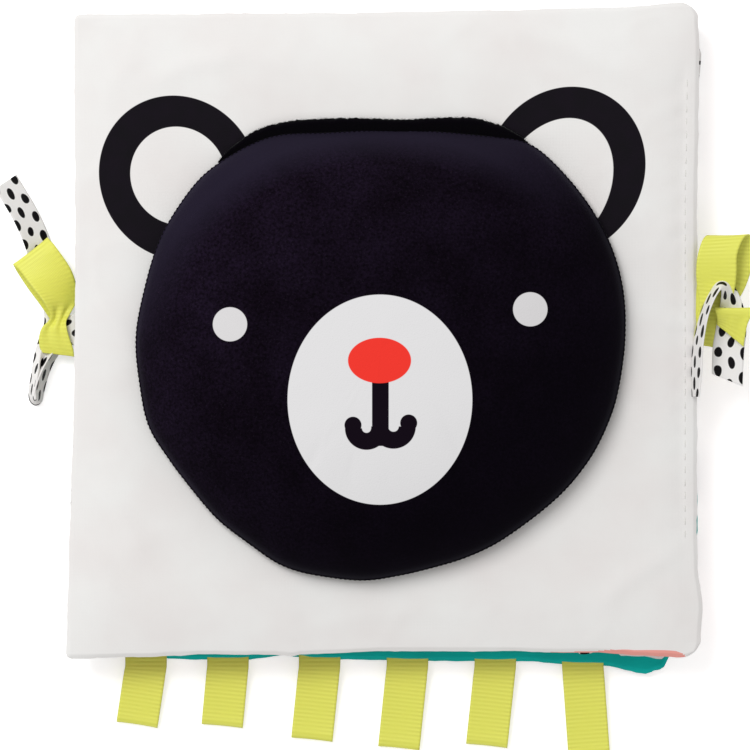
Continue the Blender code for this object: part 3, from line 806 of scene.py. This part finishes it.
faceShape = {
    "outline": ((68.8, -5.1), (69.1, -0.2), (69.1, 4.7), (68.8, 9.7), (68, 14.7), (66.8, 19.6), (65.2, 24.4),
        (62.9, 29.2), (60.5, 33.6), (57.8, 37.7), (54.7, 41.8), (51.4, 45.6), (47.8, 49.3), (44.1, 52.7),
        (40.5, 54.9), (38.1, 55.4), (35.8, 55.6), (33, 55.8), (29.5, 56.2), (22.6, 56.9), (15.8, 57.5),
        (8.9, 57.9), (2, 57.8), (-4.9, 57.9), (-11.8, 57.5), (-18.6, 57.1), (-25.5, 57.1), (-32, 56.5),
        (-35.8, 55.2), (-39.3, 53.5), (-43, 51.5), (-46.6, 49.3), (-50.2, 46.9), (-53.2, 44.3), (-56, 40.8),
        (-58.9, 36.8), (-61.6, 32.6), (-64, 28.3), (-65.9, 23.8), (-67.4, 19), (-68.7, 14.2), (-69.8, 9.4),
        (-70.9, 4.6), (-71.6, -0.2), (-71.7, -5.1), (-71.2, -10), (-70.5, -14.9), (-69.8, -19.7), (-68.9, -24.6),
        (-67.2, -29.2), (-64.3, -33.2), (-61.6, -37.3), (-58.8, -41.1), (-55.8, -44.8), (-52.9, -48.5),
        (-49.8, -52.1), (-46.5, -55.5), (-42.6, -58.2), (-38.8, -61), (-35, -63.8), (-31.1, -66.6),
        (-26.7, -68.3), (-22.1, -69.6), (-17.4, -70.2), (-12.8, -71), (-8.1, -71.4), (-3.5, -71.4), (1.1, -70.5),
        (5.6, -69.7), (10, -68.7), (14.4, -67.5), (18.7, -66.4), (23, -65), (27.1, -63.2), (31.2, -61.3),
        (35.1, -58.9), (38.7, -56.2), (42.4, -53.6), (46, -50.7), (49.5, -47.7), (52.8, -44.4), (55.8, -40.7),
        (58.6, -37), (61.1, -32.9), (63.1, -28.5), (65, -24.1), (66.5, -19.5), (67.4, -14.8), (68.2, -10)),
    "centre": (-1.3, -5.0), "points": 200, "rings": 24, "edgeRows": 5,
    "rimRings": (0.35, 0.25),  # their spacing at the rim, and up to which share of the radius they lie closer
    "seam": 21.0, "floor": 18.6, "half": 0.35, "under": (0.9, 0.7),
    # the crown: its height, the way in to it and the shape of its slope and edge
    "rise": 17.8, "crownRun": 48.0, "crownPower": 2.4, "edgeRound": 0.55, "edgeRise": 0.35,
    "topEdge": 57.9, "hingeRun": 12.0, "hingeDrop": 1.6, "hingeRise": 0.22,
    "bulge": 0.5, "threadDip": (0.2, 0.3), "puckers": 0.2, "puckerSize": 3.4, "seamPuckers": 0.08,
    "lumps": (0.35, 22), "stitchPitch": 1.4, "stitchSize": (0.8, 1.2, 0.8),
}
faceFilling = {"frames": 16, "quality": 5, "mass": 0.3, "damping": 2.0, "pressure": 10.0, "stretch": 40.0,
               "bend": 0.5, "most": 1.8}


def freeOfHinge(y):
    # 0 at the face's sewn top edge, where the seam is drawn down to the cover, 1 well below it
    away = min(max((faceShape["topEdge"] - y) / faceShape["hingeRun"], 0.0), 1.0)
    return 1 - (1 - away) ** 2


def seamLevel(y):
    return faceShape["seam"] - faceShape["hingeDrop"] * (1 - freeOfHinge(y))


def makeFace():
    v = faceShape
    points, rings, centre = v["points"], v["rings"], Vector(v["centre"])
    outline = evenPath(smoothPath(v["outline"], 6, closed=True), points, closed=True)
    for _ in range(4):
        before, after = outline[-1:] + outline[:-1], outline[1:] + outline[:1]
        outline = [(a + 2 * b + c) / 4 for a, b, c in zip(before, outline, after)]
    bm = bmesh.new()
    bmesh.ops.create_circle(bm, cap_ends=True, segments=points, radius=1.0)
    closer, border = v["rimRings"]
    inwards = [i / rings for i in range(rings)]
    radii = [1 - share * (closer + (1 - closer) * min(share / border, 1.0)) for share in inwards]
    for outer, inner in zip(radii, radii[1:]):
        cap = max(bm.faces, key=lambda f: len(f.verts))
        bmesh.ops.inset_region(bm, faces=[cap], thickness=outer - inner, use_boundary=True)
    cap = max(bm.faces, key=lambda f: len(f.verts))
    bmesh.ops.poke(bm, faces=[cap])
    twoLayers(bm, v["edgeRows"])
    sewn, beneath = [], set()
    for number, vert in enumerate(bm.verts):
        ring = math.hypot(vert.co.x, vert.co.y)
        turn = (2 * vert.co.z - 1) * math.pi / 2
        share = (math.atan2(vert.co.y, vert.co.x) / (2 * math.pi)) % 1.0
        spot, inward, pucker = centre, v["crownRun"], 0.0
        if ring > 1e-6:
            spot = outline[round(share * points) % points]
            inward = max(1 - ring, 0.0) * (spot - centre).length
            pucker = waver(spot.x / v["puckerSize"], spot.y / v["puckerSize"], 7.0)
        place = centre.lerp(spot, min(ring, 1.0))
        height = seamLevel(place.y)
        if turn < 1.5 or ring > 0.999:
            sewn.append(number)
        if turn < 0:
            beneath.add(vert)
        if turn > 1.5:
            t = min(inward / v["crownRun"], 1.0)
            rise = (1 - (1 - t) ** v["crownPower"]) ** v["edgeRound"] * v["rise"]
            height += v["edgeRise"] + rise * (v["hingeRise"] + (1 - v["hingeRise"]) * freeOfHinge(place.y))
            height += v["puckers"] * pucker * bell(inward - 2.5, 4.0) * ease(0, 1.5, inward)
            lump, size = v["lumps"]
            height += lump * waver(place.x / size, place.y / size, 2.0) * ease(2, 14, inward)
        elif turn < -1.5:
            fall, power = v["under"]
            height = max(v["floor"], height - v["half"] - fall * inward ** power)
        else:
            height += v["half"] * math.sin(turn)
        dip, width = v["threadDip"]
        swell = v["bulge"] * (math.cos(turn) - 1) - dip * bell(turn, width)
        swell += v["seamPuckers"] * pucker * math.cos(turn)
        outward = (spot - centre).normalized() if ring > 0.999 else Vector((0, 0))
        vert.co = point(place.x + outward.x * swell, place.y + outward.y * swell, height)
    bmesh.ops.recalc_face_normals(bm, faces=bm.faces)
    for side in bm.faces:
        side.material_index = 1 if beneath.issuperset(side.verts) else 0
    face = makePiece("stuffedFace", bm, [blackPlush, backPlush], "face_flap")
    settleCloth(face, sewn, faceFilling)
    face.modifiers.new("smooth cloth", "SUBSURF").levels = 1
    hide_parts("face_front_cloth", "face_back_cloth", "face_stuffing")
    return outline


def faceSeam(outline):
    # overcast stitches of black thread round the stuffed face's seam
    v = faceShape
    count = round(runLengths(outline + outline[:1])[-1] / v["stitchPitch"])
    spots = evenPath(outline, count, closed=True)
    places = []
    for before, here, after in zip(spots[-1:] + spots[:-1], spots, spots[1:] + spots[:1]):
        ahead = (after - before).normalized()
        outward = Vector((ahead.y, -ahead.x, 0))
        places.append((point(here.x, here.y, seamLevel(here.y)) - outward * v["half"] * mm, outward))
    sewStitches("faceSeamStitches", places, v["stitchSize"], bandPlush, "face_flap")


faceSeam(makeFace())
print("face made")

# the sewn band along the face's top edge: (share of the length, radius) pairs, its tufts as (height, how many
# along it, how fine round it), the flat hem that runs in under the face, and the loose fibres of its cut edge
band = {
    "route": ((-47.9, 48.6, 19.9), (-45.6, 50.7, 20), (-42.4, 53.1, 20), (-38.9, 55.4, 20), (-34, 57.7, 20),
        (-27.5, 59.1, 19.9), (-22.5, 59.6, 19.8), (-12.8, 60, 19.8), (-3.5, 59.9, 19.8), (5.7, 59.6, 19.8),
        (15.4, 60.1, 19.8), (25.5, 59.8, 19.9), (30.5, 58.7, 20.1), (35.5, 57.1, 20.3), (38.6, 55.7, 20.3),
        (41, 54.3, 20.2)),
    "radius": ((0, 0.15), (0.03, 0.4), (0.08, 0.75), (0.14, 1.05), (0.3, 1.15), (0.7, 1.15), (0.8, 1.35),
        (0.9, 1.1), (0.96, 0.45), (1, 0.15)),
    "points": 230, "around": 16, "wide": 1.15, "high": 0.85, "twist": (0.06, 55),
    "tufts": ((0.22, 45, 1), (0.12, 120, 2)), "hemReach": 1.7, "hemDrop": 0.5, "hemThin": 0.6,
    "fibres": 260, "fibreSize": (1.2, 0.16, 0.16), "fibreReach": 0.2, "fibreTurn": 1.6,
}


def makeBand():
    v = band
    route = evenPath(smoothPath(v["route"], 6), v["points"])
    bm = bmesh.new()
    bmesh.ops.create_circle(bm, cap_ends=True, segments=v["around"], radius=1.0)
    face = bm.faces[:][0]
    for step in range(v["points"] - 1):
        face = bmesh.ops.extrude_discrete_faces(bm, faces=[face])["faces"][0]
        bmesh.ops.translate(bm, vec=(0, 0, 1), verts=list(face.verts))
    for vert in bm.verts:
        i = round(vert.co.z)
        share = i / (v["points"] - 1)
        ahead = (route[min(i + 1, len(route) - 1)] - route[max(i - 1, 0)]).normalized()
        side = Vector((-ahead.y, ahead.x, 0)).normalized()
        angle = math.atan2(vert.co.y, vert.co.x)
        across, up = math.cos(angle), math.sin(angle)
        radius = along(v["radius"], share)
        strength, turns = v["twist"]
        twist = 1 + strength * math.sin(2 * math.pi * share * turns + angle)
        twist += sum(height * waver(share * count, fine * across, fine * up) for height, count, fine in v["tufts"])
        inner = max(-across, 0.0) ** 2
        out = side * across * radius * (v["wide"] * twist + v["hemReach"] * inner)
        lift = radius * (up * v["high"] * twist * (1 - v["hemThin"] * inner) - v["hemDrop"] * inner)
        vert.co = (route[i] + out + Vector((0, 0, lift))) * mm
    bmesh.ops.recalc_face_normals(bm, faces=bm.faces)
    strip = makePiece("faceHingeBand", bm, [bandPlush])
    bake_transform(strip)
    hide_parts("face_hinge_hem")


def bandFuzz():
    v = band
    route = evenPath(smoothPath(v["route"], 6), v["fibres"])
    bm = bmesh.new()
    for number, (here, ahead) in enumerate(zip(route[3:-3], route[4:-2])):
        side = Vector((here.y - ahead.y, ahead.x - here.x, 0)).normalized()
        wild = noise.noise_vector(Vector((number * 0.7, 3, 1)))
        reach = v["wide"] * along(v["radius"], number / v["fibres"]) + v["fibreReach"]
        middle = here + side * (reach * (0.85 + 0.2 * wild.x)) + Vector((0, 0, 0.5 * wild.y))
        addGrain(bm, middle * mm, (side + v["fibreTurn"] * wild).normalized(), v["fibreSize"], 3, 3)
    makePiece("bandLooseFibres", bm, [bandPlush], "cover")


makeBand()
bandFuzz()
print("band made")

# a ribbon narrower than its flat width is gathered into pleats
ribbonShape = {"thick": 0.34, "ribDepth": 0.034, "selvedge": 0.86, "columns": 18, "curl": 0.16, "samples": 10,
               "pleats": 2.2, "deepest": 0.35, "gathered": (0.95, 0.5)}


def sewRibbon(name, rows, material, ribbed, flatWidth=12.0):
    # rows of middle point and half-width vector, in millimetres
    v = ribbonShape
    fine = smoothPath([(*middle, *across) for middle, across in rows], v["samples"])
    length = runLengths(fine)[-1]
    count = max(int(length / (ribbonLook["limeRib"] / 4)), 20)
    even = evenPath(fine, count + 1)
    bm = bmesh.new()
    bmesh.ops.create_grid(bm, x_segments=count, y_segments=v["columns"], size=1.0)
    spots = {}
    for vert in bm.verts:
        i, c = round((vert.co.x + 1) / 2 * count), vert.co.y
        middle, across = Vector(even[i][:3]), Vector(even[i][3:])
        ahead = Vector(even[min(i + 1, count)][:3]) - Vector(even[max(i - 1, 0)][:3])
        normal = ahead.cross(across)
        normal = normal.normalized() if normal.length > 1e-6 else Vector((0, 0, 1))
        run = length * i / count
        width = 2 * across.length
        lift = v["curl"] * (c * c - 0.35)
        if width < v["gathered"][0] * flatWidth:
            gather = math.sqrt(4 * (flatWidth / width - 1)) * width / (2 * math.pi * v["pleats"])
            beat = math.pi * v["pleats"] * (c + 1) + 0.6 * math.sin(run / 4)
            lift += min(gather, v["deepest"]) * ease(*v["gathered"], width / flatWidth) * math.sin(beat)
        if ribbed:
            flatEdge = 1 - ease(v["selvedge"] - 0.08, v["selvedge"] + 0.02, abs(c))
            lift += v["ribDepth"] * math.cos(2 * math.pi * run / ribbonLook["limeRib"]) * flatEdge
        vert.co = (middle + across * c + normal * lift) * mm
        spots[vert] = (c * flatWidth / 2, run)
    bmesh.ops.recalc_face_normals(bm, faces=bm.faces)
    uv = bm.loops.layers.uv.new("ribbonPlace")
    for face in bm.faces:
        for loop in face.loops:
            loop[uv].uv = spots[loop.vert]
    ribbon = makePiece(name, bm, [material])
    wall = ribbon.modifiers.new("ribbon", "SOLIDIFY")
    wall.thickness, wall.offset = v["thick"] * mm, 0.0
    return ribbon, length


tags = {
    "axis": -96.3, "middle": 2.9, "width": 12.0, "seamGap": 0.65, "endGap": 1.5, "endRise": 1.35, "into": 4.2,
    "bow": 0.5, "steps": (0.0, 0.12, 0.3, 0.5, 0.7, 0.88, 0.97),
    # place, length, lean in degrees
    "rows": ((-69.1, 17.3, -8.7), (-45.4, 17.5, -5.5), (-18.9, 21.5, -5.9), (6.5, 24.0, -5.9), (31.9, 23.3, -6.0),
             (57.2, 26.4, 4.2)),
}


def makeTag(number, place, length, lean):
    v = tags
    lean = math.radians(lean)
    forward = Vector((math.sin(lean), -math.cos(lean), 0))
    across = Vector((math.cos(lean), math.sin(lean), 0)) * v["width"] / 2
    square = Vector((v["width"] / 2, 0, 0))
    seam = Vector((place, v["axis"], 0))
    reach = length - v["endGap"] / 2

    def row(share, side):
        rise = v["middle"] + (v["endRise"] - v["middle"]) * ease(0, 1, share)
        gap = v["seamGap"] + (v["endGap"] - v["seamGap"]) * share
        bow = v["bow"] * math.sin(math.pi * share) * waver(number * 3.3, side, 1)
        middle = seam + forward * reach * share + Vector((0, 0, rise + side * gap / 2 + bow))
        return middle, across if share > 0.2 else square.lerp(across, share * 5)

    steps = v["steps"]
    sewn = [(seam + Vector((0, v["into"], v["middle"] + s * 0.2)), square) for s in (1, -1)]
    tip = seam + forward * length + Vector((0, 0, v["endRise"]))
    upper, lower = [row(s, 1) for s in steps], [row(s, -1) for s in reversed(steps)]
    rows = [sewn[0], *upper, (tip, across), *lower, sewn[1]]
    ribbon, run = sewRibbon(f"ribbonTag{number}", rows, limeRibbon, True)
    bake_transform(ribbon)
    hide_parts(f"tag_{number}")


for number, values in enumerate(tags["rows"], 1):
    makeTag(number, *values)
print("tags made")

# tied bows: rows of x out from the seam, y, z, width, turn and lean in degrees
leftBow = {"bow": "left_bow", "page": "back_page", "side": -1, "corner": (-87.6, 2.9, 2.9)}
rightBow = {"bow": "right_bow", "page": "cover", "side": 1, "corner": (90.4, 5.0, 15.3)}
bows = {
    "leftBowLimeRibbon": {
        **leftBow, "node": "left_bow_lime_ribbon",
        "rows": ((-1.8, -2, 0, 8, 90, 0), (0, -2, 0, 8, 90, 0), (2.6, -1.8, -0.3, 7.4, 88, 0),
            (5.2, -0.6, -0.6, 6, 60, 0), (6.6, 2.6, -0.4, 6.4, 20, 0), (7.9, 6.4, 0, 9, 14, 0),
            (10.3, 12.2, 0.6, 11.6, 24, 0), (13.3, 17.6, 1.1, 12.4, 35, 0), (14.7, 20.3, 2.2, 12.6, 38, 0),
            (14.1, 19.9, 3.3, 12.6, 37, 0), (12.1, 17.6, 4.1, 12.5, 34, 0), (8.6, 12.6, 4.3, 12.6, 20, -12),
            (6, 6.6, 3.4, 10.8, 10, -28), (6.3, 2.4, 2.9, 6, 2, -22), (7, 0.2, 3, 5.2, 0, 0),
            (7.8, -1.8, 3.4, 7.2, -2, 0), (7.8, -4.6, 3.2, 8.9, -4, 0), (7.3, -7.2, 2.8, 9.8, -6, 0),
            (6.9, -9.3, 2.2, 9.6, -7, 0)),
    },
    "leftBowDottedRibbon": {
        **leftBow, "node": "left_bow_dotted_ribbon",
        "rows": ((22.1, 40.6, 0.5, 9.6, 36, -42), (16.7, 31.6, 0.6, 9.6, 28, -42),
            (13.4, 24.4, 0.2, 8.6, 26, -32), (11.4, 18, -0.9, 7.8, 22, -8), (8.9, 9, -1.5, 6.8, 14, 0),
            (7.8, 1, -1.8, 6.2, 4, 0), (9.4, -5.5, -1.2, 6.6, -8, 14), (11.7, -10.5, 0.4, 8.2, -16, 58),
            (13.3, -15.6, 1.7, 8.8, -12, 72), (14.3, -20, 1.9, 9.2, -6, 77), (14.2, -22.2, 1.9, 9.2, 24, 78),
            (13.4, -23, 1.9, 9.2, 78, 79), (12.6, -22.2, 1.9, 9.2, 136, 78), (12.3, -19.6, 1.8, 9.2, 166, 76),
            (11.2, -14.4, 1.3, 8.8, 170, 71), (9.8, -9.6, 0.2, 8, 172, 54), (8.2, -6, -0.8, 7, 160, 16),
            (5, -3.2, 0.6, 7.6, 120, 0), (2.4, -2.2, 1.4, 9, 92, 0), (0.2, -2, 0.7, 9.4, 90, 0),
            (-1.8, -2, 0.5, 9.4, 90, 0)),
    },
    "rightBowLimeRibbon": {
        **rightBow, "node": "right_bow_lime_ribbon",
        "rows": ((-1.8, 2.8, 0, 13.2, -90, 0), (0, 2.8, 0, 13.4, -90, 0), (2.2, 3.1, -0.3, 13, -84, 0),
            (4.6, 4.2, -0.9, 11.2, -60, 0), (7, 6.6, -1.5, 9.6, -34, 0), (9, 9.6, -1.9, 9.2, -14, 0),
            (9.9, 14.4, -1.9, 10.6, -4, 0), (10, 20, -1.5, 12, -2, 0), (8.8, 22.6, -0.2, 12.3, 0, 0),
            (6.8, 21.8, 1.7, 12, 4, 0), (5, 17.2, 2.9, 11.4, 2, 0), (4.7, 12.2, 2.7, 11.6, -2, 0),
            (4.6, 8.2, 1.9, 11, -6, 0), (4.4, 3, 0.9, 9.2, -4, 0), (3.7, -2.5, 0.5, 9.2, -2, 0),
            (3.3, -7.6, 0.5, 10, -6, 0), (3.9, -9.3, 0, 10, -10, 0), (5.2, -8, -0.7, 9.6, -14, 0),
            (7.6, -3, -0.9, 8.4, -8, 0), (9.2, 0.2, 0.2, 8.6, 0, 0), (9.5, 1.5, 3, 10.2, 0, 0),
            (9.7, 1.8, 4.7, 11.4, 0, 0), (9.7, 0.8, 5.4, 11, -2, 0), (9.2, -1.6, 4.5, 9, -12, 0),
            (8.9, -4.2, 3.4, 9.2, -30, 0), (8.7, -6, 2.8, 10, -40, 0)),
    },
    "rightBowDottedRibbon": {
        **rightBow, "node": "right_bow_dotted_ribbon",
        "rows": ((-1.5, -23.6, 5.4, 7.6, 0, 78), (-1.2, -16.5, 5.4, 8.6, 0, 73), (-0.9, -10.2, 5.4, 8.8, -4, 74),
            (0, -4.4, 5.4, 8.8, -12, 76), (1.2, 0.5, 5.4, 8.8, -22, 78), (3.1, 5.2, 5.2, 8.6, -34, 78),
            (5.2, 8.4, 4.9, 8.4, -75, 73), (7.2, 8.2, 4.2, 7.8, -122, 60), (8.5, 5.2, 2.4, 7, -152, 38),
            (9.2, 1, 1.3, 7.4, -178, 5), (9, -4.5, 0.9, 8.8, -183, 0), (8.2, -10.5, 0.8, 9.1, -186, 0),
            (7.9, -18.8, 0.7, 9.5, -202, 0)),
    },
}


def makeBow(name, v):
    lime = "Lime" in name
    corner = Vector(v["corner"])
    rows = []
    for x, y, z, width, turn, lean in v["rows"]:
        turn, lean = math.radians(turn), math.radians(lean)
        across = Vector((math.cos(turn) * math.cos(lean), math.sin(turn) * math.cos(lean), math.sin(lean)))
        rows.append((corner + Vector((v["side"] * x, y, z)), across * width / 2))
    ribbon, run = sewRibbon(name, rows, limeRibbon if lime else dotRibbon, lime, 12.0 if lime else 9.6)
    if min(row[0] for row in v["rows"]) < 0:
        x = v["corner"][0]
        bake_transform(ribbon)
    else:
        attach(ribbon, v["bow"])
    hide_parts(v["node"])


for name, values in bows.items():
    makeBow(name, values)
print("bows made")

studio = {
    "lookAt": (-2.87, -12.34), "viewWidth": 215.25, "viewLevel": 18.0, "distance": 2000.0, "sensor": 36.0,
    "floor": "#f5f4f3", "floorGlow": 0.50, "sky": 0.57,
    "keyPlace": (-480, 540, 1150), "keySize": 600, "keyPower": 9.7,
}


def seenDirectly(tree):
    # 1 for what the camera sees straight, mirrored or through something clear, 0 for light on other things
    rays = addNode(tree, "ShaderNodeLightPath").outputs
    return join(tree, "MAXIMUM", rays["Is Camera Ray"], rays["Is Glossy Ray"], rays["Is Transmission Ray"])


def makeStudio():
    v = studio
    bm = bmesh.new()
    bmesh.ops.create_grid(bm, x_segments=1, y_segments=1, size=3.0)
    floor = makePiece("floor", bm, [], None, False)
    # a pale matt table that also glows a little where the camera sees it
    material, tree = startMaterial("paleTable", {"Roughness": 0.9, "Base Color": linear(v["floor"])})
    table = tree.nodes["Principled BSDF"].outputs[0]
    glow = addNode(tree, "ShaderNodeEmission", {"Strength": v["floorGlow"]})
    both = addNode(tree, "ShaderNodeAddShader", {0: table, 1: glow.outputs[0]})
    pick = addNode(tree, "ShaderNodeMixShader", {0: seenDirectly(tree), 1: table, 2: both.outputs[0]})
    tree.links.new(pick.outputs[0], tree.nodes["Material Output"].inputs[0])
    floor.data.materials.append(material)

    world = bpy.data.worlds.new("studio")
    scene.world = world
    world.use_nodes = True
    tree = world.node_tree
    back = tree.nodes["Background"]
    back.inputs["Color"].default_value = (1, 1, 1, 1)
    back.inputs["Strength"].default_value = v["sky"]
    white = addNode(tree, "ShaderNodeBackground", {"Strength": 1.0})
    pick = addNode(tree, "ShaderNodeMixShader", {0: seenDirectly(tree), 1: back.outputs[0], 2: white.outputs[0]})
    tree.links.new(pick.outputs[0], tree.nodes["World Output"].inputs[0])

    lamp = bpy.data.lights.new("softbox", "AREA")
    lamp.size = v["keySize"] * mm
    lamp.energy = v["keyPower"]
    softbox = bpy.data.objects.new("softbox", lamp)
    softbox.location = Vector(v["keyPlace"]) * mm
    softbox.rotation_euler = (-softbox.location).to_track_quat("-Z", "Y").to_euler()
    scene.collection.objects.link(softbox)

    lens = bpy.data.cameras.new("camera")
    lens.sensor_width = v["sensor"]
    lens.lens = v["sensor"] * v["distance"] / v["viewWidth"]
    lens.clip_end = 10.0
    camera = bpy.data.objects.new("camera", lens)
    camera.location = point(*v["lookAt"], v["viewLevel"] + v["distance"])
    scene.collection.objects.link(camera)
    scene.camera = camera


makeStudio()
print("scene ready")
